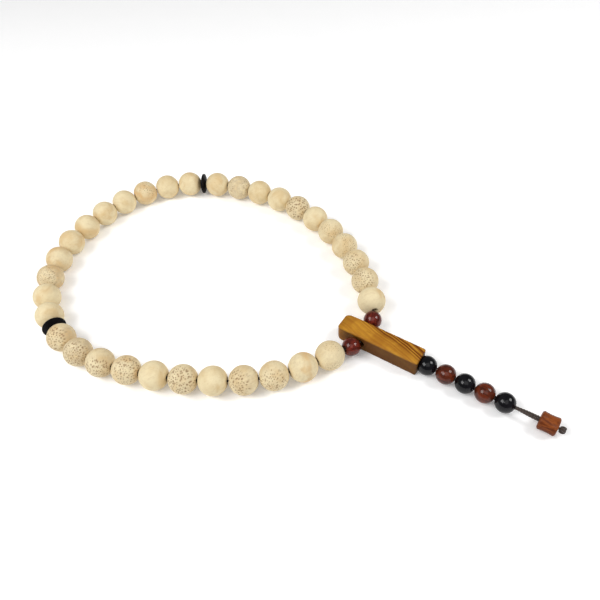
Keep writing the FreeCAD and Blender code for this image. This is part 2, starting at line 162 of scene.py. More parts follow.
def mesh_object(name, points, faces, place=None):
    """A smooth-shaded mesh from points in mm, in the object's own axes."""
    mesh = bpy.data.meshes.new(name)
    mesh.from_pydata([tuple(point) for point in np.asarray(points) * MM], [], faces)
    mesh.polygons.foreach_set("use_smooth", [True] * len(mesh.polygons))
    mesh.validate()
    mesh.update()
    item = bpy.data.objects.new(name, mesh)
    bpy.context.scene.collection.objects.link(item)
    if place is not None:
        item.matrix_world = place
    return item


def grid_faces(rings, segments, closed=True):
    """Quads of a tube of rings; a closed one joins its last ring to its first."""
    faces = []
    for ring in range(rings if closed else rings - 1):
        low, high = ring * segments, (ring + 1) % rings * segments
        for index in range(segments):
            after = (index + 1) % segments
            faces.append((low + index, low + after, high + after, high + index))
    return faces


def turned(profile, segments):
    """Points of a closed outline of (radius, height) turned about Z, ring by ring."""
    outline = np.asarray(profile)
    angles = np.arange(segments) * (2 * math.pi / segments)
    radii, heights = outline[:, :1], outline[:, 1:]
    rings = [radii * np.cos(angles), radii * np.sin(angles), heights + 0 * angles]
    return np.stack(rings, axis=-1).reshape(-1, 3)


def axis_place(spot):
    """A placement with +Z along the cord and +X as near to straight up as it goes."""
    z_axis = spot.heading
    x_axis = (Vector((0, 0, 1)) - z_axis * z_axis.z).normalized()
    y_axis = z_axis.cross(x_axis)
    return Matrix.Translation(spot.point) @ Matrix((x_axis, y_axis, z_axis)).transposed().to_4x4()


def put_attribute(item, name, values):
    attribute = item.data.attributes.new(name, "FLOAT", "POINT")
    attribute.data.foreach_set("value", np.asarray(values, dtype=np.float32))


def put_vectors(item, name, values):
    attribute = item.data.attributes.new(name, "FLOAT_VECTOR", "POINT")
    attribute.data.foreach_set("vector", np.asarray(values, dtype=np.float32).ravel())


def finished(item, material, slot, body, *nodes):
    """Gives a piece its material and its body, and hides the CAD nodes that it stands for."""
    item.data.materials.append(material)
    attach(item, body)
    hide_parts(*nodes)
    return item


# ---------------------------------------------------------------- node helpers


def srgb(red, green, blue):
    """A display colour, 0 to 255, as the shader's linear colour."""
    def linear(value):
        value /= 255
        return value / 12.92 if value <= 0.04045 else ((value + 0.055) / 1.055) ** 2.4
    return (linear(red), linear(green), linear(blue), 1)


class Nodes:
    """Short names for the nodes that the materials are made of."""

    def __init__(self, name):
        self.material = bpy.data.materials.new(name)
        self.material.use_nodes = True
        self.tree = self.material.node_tree
        self.shader = self.tree.nodes["Principled BSDF"]
        self.place = self.make("ShaderNodeTexCoord").outputs["Object"]

    def make(self, kind, **settings):
        node = self.tree.nodes.new(kind)
        for key, value in settings.items():
            setattr(node, key, value)
        return node

    def feed(self, socket, value):
        if isinstance(value, bpy.types.NodeSocket):
            self.tree.links.new(value, socket)
        else:
            socket.default_value = value

    def attribute(self, name, output="Fac"):
        return self.make("ShaderNodeAttribute", attribute_name=name).outputs[output]

    def noise(self, where, scale, seed=0.0, detail=3.0, roughness=0.55, distortion=0.0):
        """Fractal noise, about 0.5 in the middle; its scale is in features per metre."""
        node = self.make("ShaderNodeTexNoise", noise_dimensions="4D")
        self.feed(node.inputs["Vector"], where)
        self.feed(node.inputs["W"], seed)
        for name, value in (("Scale", scale), ("Detail", detail), ("Roughness", roughness),
                            ("Distortion", distortion)):
            node.inputs[name].default_value = value
        return node.outputs["Fac"]

    def span(self, value, low, high, out_low=0.0, out_high=1.0):
        """A smooth step from one output to another as the value goes from low to high."""
        node = self.make("ShaderNodeMapRange", interpolation_type="SMOOTHSTEP")
        self.feed(node.inputs["Value"], value)
        limits = {"From Min": low, "From Max": high, "To Min": out_low, "To Max": out_high}
        for name, number in limits.items():
            node.inputs[name].default_value = number
        return node.outputs["Result"]

    def sum(self, operation, first, second):
        node = self.make("ShaderNodeMath", operation=operation)
        self.feed(node.inputs[0], first)
        self.feed(node.inputs[1], second)
        return node.outputs[0]

    def along(self, where, direction):
        """How far a place is along a direction; one of length 1000 gives millimetres."""
        node = self.make("ShaderNodeVectorMath", operation="DOT_PRODUCT")
        self.feed(node.inputs[0], where)
        node.inputs[1].default_value = direction
        return node.outputs["Value"]

    def stretched(self, where, scale):
        node = self.make("ShaderNodeVectorMath", operation="MULTIPLY")
        self.feed(node.inputs[0], where)
        node.inputs[1].default_value = scale
        return node.outputs["Vector"]

    def mix(self, factor, first, second, blend="MIX"):
        node = self.make("ShaderNodeMix", data_type="RGBA", blend_type=blend)
        self.feed(node.inputs["Factor"], factor)
        self.feed(node.inputs[6], first)
        self.feed(node.inputs[7], second)
        return node.outputs[2]

    def bump(self, height, distance, strength=1.0, normal=None):
        node = self.make("ShaderNodeBump")
        self.feed(node.inputs["Height"], height)
        node.inputs["Distance"].default_value = distance
        node.inputs["Strength"].default_value = strength
        if normal is not None:
            self.feed(node.inputs["Normal"], normal)
        return node.outputs["Normal"]

    def done(self, colour, roughness, normal, **constants):
        """Links the maps and sets what is the same all over on the shader's own sockets."""
        self.feed(self.shader.inputs["Base Color"], colour)
        self.feed(self.shader.inputs["Roughness"], roughness)
        self.feed(self.shader.inputs["Normal"], normal)
        for name, value in constants.items():
            self.shader.inputs[name.replace("_", " ")].default_value = value
        return self.material


# ---------------------------------------------------------------- materials


def pale_wood():
    """Matte cane-like wood: fibre bundles that are dots across the grain and streaks along it."""
    nodes = Nodes("pale_wood")
    seed, pore = nodes.attribute("seed"), nodes.attribute("pore")
    warm, grey = nodes.attribute("warm"), nodes.attribute("grey")
    fibre = nodes.attribute("fibre", "Vector")
    patches = nodes.noise(nodes.place, 170, seed, 2.5, 0.5, 0.6)
    mottle = nodes.noise(nodes.place, 900, seed, 5.0, 0.7)
    streaks = nodes.noise(fibre, 2.6, seed, 4.0, 0.62)
    colour = nodes.mix(nodes.span(patches, 0.38, 0.72), srgb(230, 214, 174), srgb(215, 193, 147))
    tan = nodes.sum("MULTIPLY", nodes.span(patches, 0.4, 0.78), warm)
    colour = nodes.mix(tan, colour, srgb(214, 174, 116))
    dusk = nodes.sum("MULTIPLY", nodes.span(mottle, 0.3, 0.7), grey)
    colour = nodes.mix(dusk, colour, srgb(196, 178, 146))
    colour = nodes.mix(nodes.span(streaks, 0.5, 0.78, 0, 0.42), colour, srgb(190, 156, 106))
    colour = nodes.mix(nodes.span(mottle, 0.52, 0.75, 0, 0.25), colour, srgb(205, 170, 120))
    colour = nodes.mix(nodes.span(pore, 0.08, 0.8, 0, 0.85), colour, srgb(136, 103, 68))
    roughness = nodes.span(mottle, 0.3, 0.7, 0.58, 0.74)
    normal = nodes.bump(nodes.sum("ADD", mottle, streaks), 0.00005, 0.7)
    return nodes.done(colour, roughness, normal, Specular_IOR_Level=0.35)


def polished_wood(name, light, dark, vein, grain_scale, roughness, coat):
    """A dyed and polished hardwood with darker veins along the bore."""
    nodes = Nodes(name)
    seed = nodes.attribute("seed")
    drawn = nodes.stretched(nodes.place, (1, 1, 0.22))
    grain = nodes.noise(drawn, grain_scale, seed, 4.0, 0.6, 1.2)
    cloud = nodes.noise(nodes.place, 260, seed, 2.0, 0.5)
    pores = nodes.noise(drawn, grain_scale * 4, seed, 3.0, 0.6)
    colour = nodes.mix(nodes.span(grain, 0.36, 0.66), light, dark)
    colour = nodes.mix(nodes.span(cloud, 0.45, 0.75, 0, 0.6), colour, dark)
    colour = nodes.mix(nodes.span(pores, 0.6, 0.72, 0, 0.75), colour, vein)
    rough = nodes.span(cloud, 0.3, 0.7, roughness, roughness + 0.1)
    normal = nodes.bump(nodes.sum("ADD", grain, pores), 0.00003, 0.35)
    return nodes.done(colour, rough, normal, Specular_IOR_Level=0.06, Coat_Weight=coat, Coat_Roughness=0.06)


def black_polish(name, roughness, coat):
    """Near-black polish with faint scuffs."""
    nodes = Nodes(name)
    seed = nodes.attribute("seed")
    cloud = nodes.noise(nodes.place, 330, seed, 3.0, 0.6)
    scuffs = nodes.noise(nodes.stretched(nodes.place, (1, 1, 6)), 700, seed, 5.0, 0.7)
    colour = nodes.mix(nodes.span(cloud, 0.35, 0.7), srgb(6, 6, 10), srgb(18, 17, 21))
    colour = nodes.mix(nodes.span(scuffs, 0.6, 0.75, 0, 0.2), colour, srgb(60, 55, 54))
    rough = nodes.span(scuffs, 0.4, 0.75, roughness, roughness + 0.16)
    normal = nodes.bump(scuffs, 0.00002, 0.3)
    return nodes.done(colour, rough, normal, Specular_IOR_Level=0.04, Coat_Weight=coat, Coat_Roughness=0.05)


def head_wood():
    """Ochre sapwood with brown rings that cross the tail end aslant, darker low on the sides: partly browner
    wood, partly painted shade.
    """
    nodes = Nodes("head_wood")
    warp = nodes.noise(nodes.place, 70, 3.1, 2.0, 0.5)
    fine = nodes.noise(nodes.stretched(nodes.place, (1, 0.12, 1)), 2600, 1.7, 4.0, 0.65)
    rings_at = nodes.sum("ADD", nodes.along(nodes.place, (1000, -265, 420)), nodes.sum("MULTIPLY", warp, 3.2))
    wave = nodes.make("ShaderNodeTexNoise", noise_dimensions="1D")
    nodes.feed(wave.inputs["W"], rings_at)
    wave.inputs["Scale"].default_value = 1.15
    wave.inputs["Detail"].default_value = 2.0
    rings = wave.outputs["Fac"]
    slant = nodes.sum("ADD", nodes.along(nodes.place, (760, -143, 0)), nodes.sum("MULTIPLY", warp, 3.0))
    striped = nodes.span(slant, 2.8, 4.3)
    # painted shade and browner wood: the lower sides are darkened, more at smaller y
    low = nodes.span(nodes.along(nodes.place, (0, 0, 1000)), 5.9, 6.7, 1, 0)
    low = nodes.sum("MULTIPLY", low, nodes.span(nodes.along(nodes.place, (0, 1000, 0)), 4.0, 9.0, 1, 0.55))
    patch = nodes.span(nodes.noise(nodes.place, 130, 8.4, 2.0, 0.5, 0.8), 0.42, 0.66)
    ochre = nodes.mix(patch, srgb(192, 138, 46), srgb(168, 114, 36))
    colour = nodes.mix(nodes.span(rings, 0.4, 0.62, 0.1, 0.45), ochre, srgb(140, 82, 30))
    bands = nodes.sum("MULTIPLY", striped, nodes.span(rings, 0.43, 0.54))
    colour = nodes.mix(nodes.sum("MULTIPLY", bands, 0.92), colour, srgb(98, 46, 12))
    # darkens the lower sides: partly browner wood, partly painted shade on the side faces
    colour = nodes.mix(nodes.sum("MULTIPLY", low, 0.84), colour, srgb(68, 37, 15))
    colour = nodes.mix(nodes.span(fine, 0.55, 0.75, 0, 0.5), colour, srgb(96, 54, 22))
    rough = nodes.span(fine, 0.35, 0.7, 0.32, 0.48)
    normal = nodes.bump(nodes.sum("ADD", fine, rings), 0.00005, 0.5)
    return nodes.done(colour, rough, normal, Specular_IOR_Level=0.04, Coat_Weight=0.08, Coat_Roughness=0.28)


def cord_fibre(name, light, dark):
    """Fine dark yarn, its threads running along the strand."""
    nodes = Nodes(name)
    threads = nodes.noise(nodes.place, 5200, 0.4, 4.0, 0.7)
    cloud = nodes.noise(nodes.place, 420, 2.2, 2.0, 0.5)
    colour = nodes.mix(nodes.span(threads, 0.35, 0.7), dark, light)
    colour = nodes.mix(nodes.span(cloud, 0.4, 0.7, 0, 0.4), colour, dark)
    normal = nodes.bump(threads, 0.00006, 0.9)
    return nodes.done(colour, 0.82, normal, Sheen_Weight=0.35, Sheen_Roughness=0.5)


PALE = pale_wood()
SPACER = polished_wood(
    "spacer_polish", light=srgb(114, 38, 25), dark=srgb(58, 17, 13), vein=srgb(30, 8, 8),
    grain_scale=900, roughness=0.2, coat=0.5)
TAIL_RED = polished_wood(
    "tail_red_polish", light=srgb(106, 42, 19), dark=srgb(55, 21, 11), vein=srgb(34, 13, 8),
    grain_scale=800, roughness=0.22, coat=0.46)
TAIL_BLACK = black_polish("tail_black_polish", roughness=0.2, coat=0.46)
DISC_BLACK = black_polish("disc_black", roughness=0.4, coat=0.08)
BARREL = polished_wood(
    "barrel_satin", light=srgb(142, 75, 34), dark=srgb(84, 37, 17), vein=srgb(60, 26, 10),
    grain_scale=620, roughness=0.38, coat=0.1)
HEAD = head_wood()
CORD = cord_fibre("cord_fibre", srgb(82, 62, 50), srgb(38, 28, 24))

# ---------------------------------------------------------------- cords

STRAND_SIDES = 10
OFF_LINE = (0.3, 0.2, 1.0)  # a direction that no cord starts along
DOMED = 0.55  # a tube's end rings are this share of its radius
NESTING = 0.46  # two laid strands wind this share of their width from the line


def swept(lines, radius):
    """Points and faces of round tubes of one radius along several lines, in mm, with domed ends."""
    points, faces = [], []
    for line in lines:
        line = np.asarray([tuple(point) for point in line])
        ahead = np.gradient(line, axis=0)
        ahead /= np.linalg.norm(ahead, axis=1)[:, None]
        side = np.cross(ahead[0], OFF_LINE)
        rings = []
        count = len(line)
        for index in range(count):
            side -= ahead[index] * side.dot(ahead[index])
            side /= np.linalg.norm(side)
            other = np.cross(ahead[index], side)
            angles = np.arange(STRAND_SIDES) * (2 * math.pi / STRAND_SIDES)
            shrink = DOMED if index in (0, count - 1) else 1.0
            rings.append(line[index] + radius * shrink * (np.outer(np.cos(angles), side)
                                                          + np.outer(np.sin(angles), other)))
        base = len(points)
        points += list(np.concatenate(rings))
        for face in grid_faces(count, STRAND_SIDES, closed=False):
            faces.append(tuple(base + corner for corner in face))
        faces.append(tuple(base + index for index in reversed(range(STRAND_SIDES))))
        faces.append(tuple(base + (count - 1) * STRAND_SIDES + index for index in range(STRAND_SIDES)))
    return points, faces


def laid_strands(line, offset, twist, strands=2, start=0.0):
    """Lines that wind round a line given in metres, each at the offset and with the twist length, in mm."""
    centre = np.asarray([tuple(point) for point in line]) / MM
    ahead = np.gradient(centre, axis=0)
    ahead /= np.linalg.norm(ahead, axis=1)[:, None]
    side = np.cross(ahead, (0.0, 0.0, 1.0))
    side /= np.linalg.norm(side, axis=1)[:, None]
    other = np.cross(ahead, side)
    length = np.concatenate([[0], np.cumsum(np.linalg.norm(np.diff(centre, axis=0), axis=1))])
    lines = []
    for strand in range(strands):
        angle = (start + 2 * math.pi * (length / twist + strand / strands))[:, None]
        lines.append(centre + offset * (np.cos(angle) * side + np.sin(angle) * other))
    return lines


LOOP_STRAND, LOOP_TWIST = 0.5, 3.2  # mm
TAIL_STRAND, TAIL_TWIST = 0.9, 30.0
YARN_OFFSET, YARN_TWIST = 0.23, 2.6
BIGHT_STRAND = 0.76


def cord_piece(node, lines, radius):
    points, faces = swept(lines, radius)
    body = frame["nodes"][node]["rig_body"]
    return finished(mesh_object(f"{node}_laid", points, faces), CORD, "cord", body, node)


def laid_cord(node, line):
    """The loop's cord: two strands laid round each other."""
    return cord_piece(node, laid_strands(line, LOOP_STRAND * NESTING, LOOP_TWIST), LOOP_STRAND / 2)


def doubled_cord(node, line, flat_at):
    """Two small laid cords side by side, lying flat at a distance in mm along the line."""
    start = -2 * math.pi * flat_at / TAIL_TWIST
    yarns = []
    for half in laid_strands(line, TAIL_STRAND * NESTING, TAIL_TWIST, start=start):
        yarns += laid_strands(half * MM, YARN_OFFSET, YARN_TWIST, strands=3)
    return cord_piece(node, yarns, TAIL_STRAND / 2 - YARN_OFFSET)


FOLDS = [("bead_04", "bead_29"), ("bead_06", "bead_27"), ("bead_08", "bead_25"), ("bead_10", "bead_23")]


def loop_stretch(first, last):
    """Spots from the gap after one loop piece to the gap after another."""
    low, high = loop_order.index(first), loop_order.index(last)
    inner = [loop_spots[name] for name in loop_order[low + 1:high + 1]]
    start = middle_spot(loop_spots[loop_order[low]], inner[0])
    finish = middle_spot(inner[-1], loop_spots[loop_order[high + 1]])
    return [start, *inner, finish]


def loop_cords():
    """The loop's cord in its lengths: one at the front, three on each side and one at the back."""
    first_right, first_left = FOLDS[0]
    left_names = loop_order[loop_order.index(first_left) + 1:]
    right_names = loop_order[:loop_order.index(first_right) + 1]
    left_end = middle_spot(loop_spots[first_left], loop_spots[left_names[0]])
    after_right = loop_order[loop_order.index(first_right) + 1]
    right_end = middle_spot(loop_spots[first_right], loop_spots[after_right])
    front = [left_end, *(loop_spots[name] for name in left_names), loop_spots["spacer_bead_left"], crossing,
             loop_spots["spacer_bead_right"], *(loop_spots[name] for name in right_names), right_end]
    laid_cord("loop_cord_front", smooth_line(front))
    for strip, (near, far) in enumerate(zip(FOLDS, FOLDS[1:]), start=1):
        laid_cord(f"loop_cord_right_{strip}", smooth_line(loop_stretch(near[0], far[0])))
        laid_cord(f"loop_cord_left_{strip}", smooth_line(loop_stretch(far[1], near[1])))
    laid_cord("loop_cord_back", smooth_line(loop_stretch(*FOLDS[-1])))


def straight(start, end):
    count = round((end - start).length / LINE_STEP)
    return [start.lerp(end, index / count) for index in range(count + 1)]


tail_pivots = [Vector(joints[f"tail_flex_{number}"]["pos_m"]) for number in range(1, 6)]
tail_heading = (tail_pivots[4] - tail_pivots[0]).normalized()
BARE_TO_KNOT = 11.0  # mm from the middle of the bare stretch to the knot's middle
knot_low, knot_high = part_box("end_knot")
knot_middle = (knot_low + knot_high) / 2


def tail_cords():
    """The tail's cord from the first flexing point to the knot, lying flat where it shows."""
    for number in range(2, 6):
        line = straight(tail_pivots[number - 2], tail_pivots[number - 1])
        doubled_cord(f"tail_cord_{number}", line, 0.0)
    bare_middle = (knot_middle - tail_pivots[4]).length / MM - BARE_TO_KNOT
    doubled_cord("tail_cord_end", straight(tail_pivots[4], knot_middle), bare_middle)


def bight():
    """The tail cord's doubled end: one strand round the loop's cord and back beside itself."""
    ring, neck_length = 0.95 * MM, 2.6 * MM
    leg = BIGHT_STRAND * NESTING * MM
    neck = crossing.point - Vector((0, neck_length, 0))
    foot = tail_pivots[0]
    height = Vector((0, 0, 1))
    back = Vector((0, -1, 0))
    spots = [Spot(foot + height * leg, -back), Spot(neck + height * leg, -back),
             Spot(crossing.point + height * ring, -back), Spot(crossing.point - back * ring, -height),
             Spot(crossing.point - height * ring, back), Spot(neck - height * leg, back),
             Spot(foot - height * leg, back)]
    line = np.asarray([tuple(point) for point in smooth_line(spots)]) / MM
    points, faces = swept([line], BIGHT_STRAND / 2)
    item = mesh_object("tail_cord_head_bight", points, faces)
    return finished(item, CORD, "cord", "head", "tail_cord_head")


def end_knot():
    """An overhand knot drawn tight, as one closed strand with no cut ends."""
    width = (knot_high - knot_low).length / math.sqrt(3) / MM
    strand, flatness = 0.92, 0.62
    turns = np.linspace(0, 2 * math.pi, 121)
    sweep = (width - strand) / 2
    inner = 1.1  # the trefoil's inner loops, to its outer round
    across = sweep * (np.sin(turns) + inner * np.sin(2 * turns)) / (1 + inner)
    rise = sweep * (np.cos(turns) - inner * np.cos(2 * turns)) / (1 + inner)
    depth = -sweep * flatness * np.sin(3 * turns)
    knot = np.stack([across, rise, depth], axis=-1)
    place = axis_place(Spot(knot_middle, tail_heading))
    points, faces = swept([knot], strand / 2)
    item = mesh_object("end_knot_tied", points, faces, place)
    return finished(item, CORD, "cord", "tail_end", "end_knot")


loop_cords()
tail_cords()
bight()
end_knot()

# ---------------------------------------------------------------- floor and light

FLOOR_HALF = 1.5
FLOOR_DROP = 0.00002
floor_mesh = bpy.data.meshes.new("floor")
floor_mesh.from_pydata([(-FLOOR_HALF, -FLOOR_HALF, 0), (FLOOR_HALF, -FLOOR_HALF, 0),
                        (FLOOR_HALF, FLOOR_HALF, 0), (-FLOOR_HALF, FLOOR_HALF, 0)], [], [(0, 1, 2, 3)])
floor = bpy.data.objects.new("floor", floor_mesh)
bpy.context.scene.collection.objects.link(floor)
floor.location.z = -FLOOR_DROP
paper = Nodes("pale_floor")
paper_grain = paper.noise(paper.place, 60, 0.0, 3.0)
paper_white = paper.mix(paper_grain, srgb(250, 250, 250), srgb(255, 255, 255))
paper_relief = paper.bump(paper_grain, 0.0001, 0.05)
floor_mesh.materials.append(paper.done(paper_white, 0.9, paper_relief, Specular_IOR_Level=0.1,
                                       Emission_Color=(1, 1, 1, 1), Emission_Strength=0.12))


def soft_box(name, from_middle, width, height, power):
    """A rectangular light that faces the middle of the loop."""
    light = bpy.data.lights.new(name, "AREA")
    light.shape = "RECTANGLE"
    light.size, light.size_y, light.energy = width, height, power
    item = bpy.data.objects.new(name, light)
    bpy.context.scene.collection.objects.link(item)
    middle = (cad_box[0] + cad_box[1]) / 2
    item.location = middle + from_middle
    item.rotation_mode = "QUATERNION"
    item.rotation_quaternion = (-from_middle).to_track_quat("-Z", "Y")


level_forward = Vector((math.sin(bearing), math.cos(bearing), 0))


def from_loop(rightward, onward, upward):
    """A place by its metres from the loop's middle, as the viewer sees right and onward."""
    return level_right * rightward + level_forward * onward + Vector((0, 0, upward))


soft_box("window_left", from_loop(-0.4, -0.12, 0.48), width=0.4, height=0.3, power=2.7)
soft_box("window_right", from_loop(0.44, -0.02, 0.44), width=0.24, height=0.24, power=1.8)
soft_box("overhead", from_loop(0, -0.45, 0.85), width=0.7, height=0.7, power=1.8)

world = bpy.data.worlds.new("studio")
bpy.context.scene.world = world
world.use_nodes = True
surroundings = world.node_tree.nodes["Background"]
surroundings.inputs["Color"].default_value = (1, 1, 1, 1)
surroundings.inputs["Strength"].default_value = 0.22
bpy.context.scene.view_settings.view_transform = "Standard"

# ---------------------------------------------------------------- loop beads

BORE, MOUTH = 0.9, 1.3  # mm
EDGE = 0.05  # half-width of the softened corner at a mouth


def arc_outline(radius, top, bottom, steps):
    """Points of (radius, height) round a ball, from one angle above its middle down to another."""
    return [(radius * math.cos(angle), radius * math.sin(angle)) for angle in np.linspace(top, bottom, steps)]


def ball_outline(radius, bore, mouth, steps):
    """A drilled ball's closed outline of (radius, height), up the bore and back round the ball."""
    half = math.sqrt(radius ** 2 - mouth ** 2)
    wall = half - (mouth - bore)
    outline = [(bore, height) for height in np.linspace(-wall + EDGE, wall - EDGE, 5)]
    outline += [(bore + EDGE, wall + EDGE), (mouth - EDGE, half - EDGE)]
    top = math.asin((half - EDGE / 2) / radius)
    outline += arc_outline(radius, top, -top, steps)
    outline += [(mouth - EDGE, EDGE - half), (bore + EDGE, -wall - EDGE)]
    return outline


ROW_PITCH = 0.87  # rows of a hexagonal pattern lie this many spacings apart
JITTER = 0.34


def bundle_points(random, reach, spacing):
    """Fibre bundles in the plane across the grain: a jittered hexagonal pattern."""
    points = []
    rows = int(reach / spacing) + 2
    for row in range(-rows, rows + 1):
        for column in range(-rows, rows + 1):
            point = np.array([(column + (row % 2) / 2) * spacing, row * spacing * ROW_PITCH])
            points.append(point + random.uniform(-JITTER, JITTER, 2) * spacing)
    points = np.array(points)
    return points[np.linalg.norm(points, axis=1) < reach]


class Look:
    """How one loop bead's wood lies and looks.

    grain is the fibres' direction. depth, pit and spacing are its pits' depth, half-width and distance
    apart, in mm. cover is how much of the bead is pitted. warm and grey are the strengths of its tan
    patches and its mottling.
    """

    def __init__(self, grain, depth=0.05, pit=0.2, spacing=0.85, cover=0.35, warm=0.35, grey=0.15):
        self.grain, self.depth, self.pit, self.spacing = grain, depth, pit, spacing
        self.cover, self.warm, self.grey = cover, warm, grey
        self.is_pitted = cover > 0.5


LEFTWARD, RIGHTWARD, UPWARD = -level_right, level_right, Vector((0, 0, 1))
NEARWARD = -level_forward
FACING = -forward  # towards the viewer
LOOKS = {  # by bead number: grain, depth, pit, spacing, cover, warm, grey
    2: Look(FACING + LEFTWARD * 0.6, 0.11, 0.23, 0.8, 1.0, 0.3, 0.5),
    3: Look(FACING + LEFTWARD * 0.5 - UPWARD * 0.4, 0.11, 0.24, 0.82, 1.0, 0.3, 0.4),
    4: Look(FACING + LEFTWARD * 0.2, 0.05, 0.16, 0.7, 0.6, 0.3, 0.3),
    5: Look(FACING, 0.05, 0.15, 0.7, 0.55, 0.3, 0.3),
    7: Look(FACING + LEFTWARD * 0.1, 0.19, 0.36, 1.05, 1.0, 0.3, 0.6),
    10: Look(LEFTWARD, 0.08, 0.2, 0.9, 0.8, 0.2, 1.0),
    14: Look(RIGHTWARD + UPWARD, 0.07, 0.2, 0.9, 0.6, 1.0, 0.35),
    19: Look(UPWARD + RIGHTWARD * 0.5, 0.05, 0.2, 0.9, 0.3, 1.0, 0.3),
    20: Look(FACING + LEFTWARD * 0.3, 0.06, 0.19, 0.78, 0.65, 0.75, 0.7),
    22: Look(NEARWARD, 0.05, 0.18, 0.8, 0.3, 0.3, 0.2),
    23: Look(FACING + LEFTWARD * 0.4, 0.13, 0.28, 0.92, 1.0, 0.7, 0.6),
    24: Look(FACING - UPWARD * 0.2, 0.12, 0.25, 0.8, 1.0, 0.2, 1.0),
    25: Look(FACING + NEARWARD * 0.9 - UPWARD * 0.5, 0.12, 0.27, 0.8, 1.0, 0.3, 0.5),
    26: Look(FACING + RIGHTWARD * 0.3, 0.14, 0.27, 0.82, 1.05, 0.9, 0.5),
    28: Look(FACING, 0.16, 0.3, 0.88, 1.15, 0.25, 0.55),
    30: Look(FACING + LEFTWARD * 0.6 - UPWARD * 0.3, 0.14, 0.27, 0.8, 1.0, 0.3, 0.5),
    31: Look(FACING + NEARWARD * 0.6 - UPWARD * 0.4, 0.1, 0.23, 0.8, 0.85, 0.6, 0.4),
    32: Look(UPWARD + RIGHTWARD * 0.4, 0.05, 0.2, 0.9, 0.3, 1.0, 0.35),
    33: Look(FACING, 0.03, 0.13, 0.7, 0.55, 0.2, 0.35),
}


SOUND, FAINT_BUNDLE = 0.88, 0.1  # the share of bundles that leave a pit, and what the rest leave of one
SIDE_PITS = 0.16  # how strong a pitted bead's pits still are on its sides, where the fibres lie flat
PLAIN_PITS = 0.35  # how strong a plain bead's pits are at the ends of its grain
HOLLOWS = 0.035  # mm, the depth of a bead's broad unevenness
WAVES, WAVE_RATE, ANY_PHASE = 4, 0.55, 6.3  # the waves that sum to it, in radians per mm and radians


def bead_pits(look, random, points, flat, lengthwise, radius):
    """How deeply each point lies in a pit, 0 to 1, and the bead's broad unevenness, -1 to 1."""
    bundles = bundle_points(random, radius, look.spacing)
    sizes = look.pit * random.uniform(0.65, 1.25, len(bundles))
    leaves_pit = random.uniform(size=len(bundles)) < SOUND
    strengths = np.where(leaves_pit, random.uniform(0.55, 1.0, len(bundles)), FAINT_BUNDLE)
    gaps = np.linalg.norm(flat[:, None, :] - bundles[None, :, :], axis=2)
    pits = (strengths * np.exp(-(gaps / sizes) ** 2.0)).max(axis=1)

    waves = sum(np.sin(points @ random.normal(size=3) * WAVE_RATE + random.uniform(0, ANY_PHASE))
                for _ in range(WAVES)) / WAVES
    across_grain = np.clip((np.abs(lengthwise) / radius - 0.2) / 0.4, 0, 1)
    covered = np.clip((waves + 2 * look.cover - 0.75) / 0.5, 0, 1)
    if look.is_pitted:
        return pits * covered * (SIDE_PITS + (1 - SIDE_PITS) * across_grain), waves
    return pits * PLAIN_PITS * covered * across_grain, waves


BEAD_SEED = 700
FINE_MESH, PLAIN_MESH = (120, 232), (76, 144)  # steps down the outline, and segments round the bore
OFF_GRAIN = (0.36, 0.48, 0.8)  # a direction that no grain runs along
SKIN, SKIN_FADE = 0.12, 0.1  # mm: how far into the bore's mouths pits reach, and their rise to full depth
STREAK_RATE = 0.1  # how fast streaks change along the grain, to their rate across it


def loop_bead(number):
    """One loop bead: a finely meshed drilled ball with its pits pressed in, and the wood's attributes."""
    node = f"bead_{number:02d}"
    random = np.random.default_rng(BEAD_SEED + number)
    plain = Look(Vector(random.normal(size=3)) + RIGHTWARD * 1.5, warm=random.uniform(0.1, 0.6))
    look = LOOKS.get(number, plain)
    low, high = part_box(node)
    radius = (high.z - low.z) / 2 / MM
    steps, segments = FINE_MESH if look.is_pitted else PLAIN_MESH
    place = axis_place(loop_spots[node])
    points = turned(ball_outline(radius, BORE, MOUTH, steps), segments)

    grain = np.array((place.to_3x3().transposed() @ look.grain).normalized())
    across = np.cross(grain, OFF_GRAIN)
    across /= np.linalg.norm(across)
    other = np.cross(grain, across)
    flat = np.stack([points @ across, points @ other], axis=-1)
    lengthwise = points @ grain
    pores, waves = bead_pits(look, random, points, flat, lengthwise, radius)

    distance = np.linalg.norm(points, axis=1)
    outside = np.clip((distance - radius + SKIN) / SKIN_FADE, 0, 1)
    inward = outside * (look.depth * pores + HOLLOWS * (1 + waves) / 2)
    points = points * (1 - inward / distance)[:, None]

    item = mesh_object(f"{node}_wood", points, grid_faces(len(points) // segments, segments), place)
    put_attribute(item, "pore", pores * outside)
    put_attribute(item, "seed", np.full(len(points), number * 1.7))
    put_attribute(item, "warm", np.full(len(points), look.warm))
    put_attribute(item, "grey", np.full(len(points), look.grey))
    put_vectors(item, "fibre", np.column_stack([flat, lengthwise * STREAK_RATE]))
    finished(item, PALE, "loop_bead", node, node)


for bead_number in range(1, LOOP_BEADS + 1):
    loop_bead(bead_number)

# ---------------------------------------------------------------- small turned pieces

TURNED_SEGMENTS = 112


def turned_piece(node, outline, spot, material, slot, seed):
    points = turned(outline, TURNED_SEGMENTS)
    faces = grid_faces(len(outline), TURNED_SEGMENTS)
    item = mesh_object(f"{node}_turned", points, faces, axis_place(spot))
    put_attribute(item, "seed", np.full(len(points), seed))
    return finished(item, material, slot, node, node)


LINE_DEPTH, LINE_RATE = 0.018, 14  # mm, and radians per mm
GROOVE_DEPTH, GROOVE_RADIUS, GROOVE_WIDTH = 0.05, 2.2, 0.16  # mm


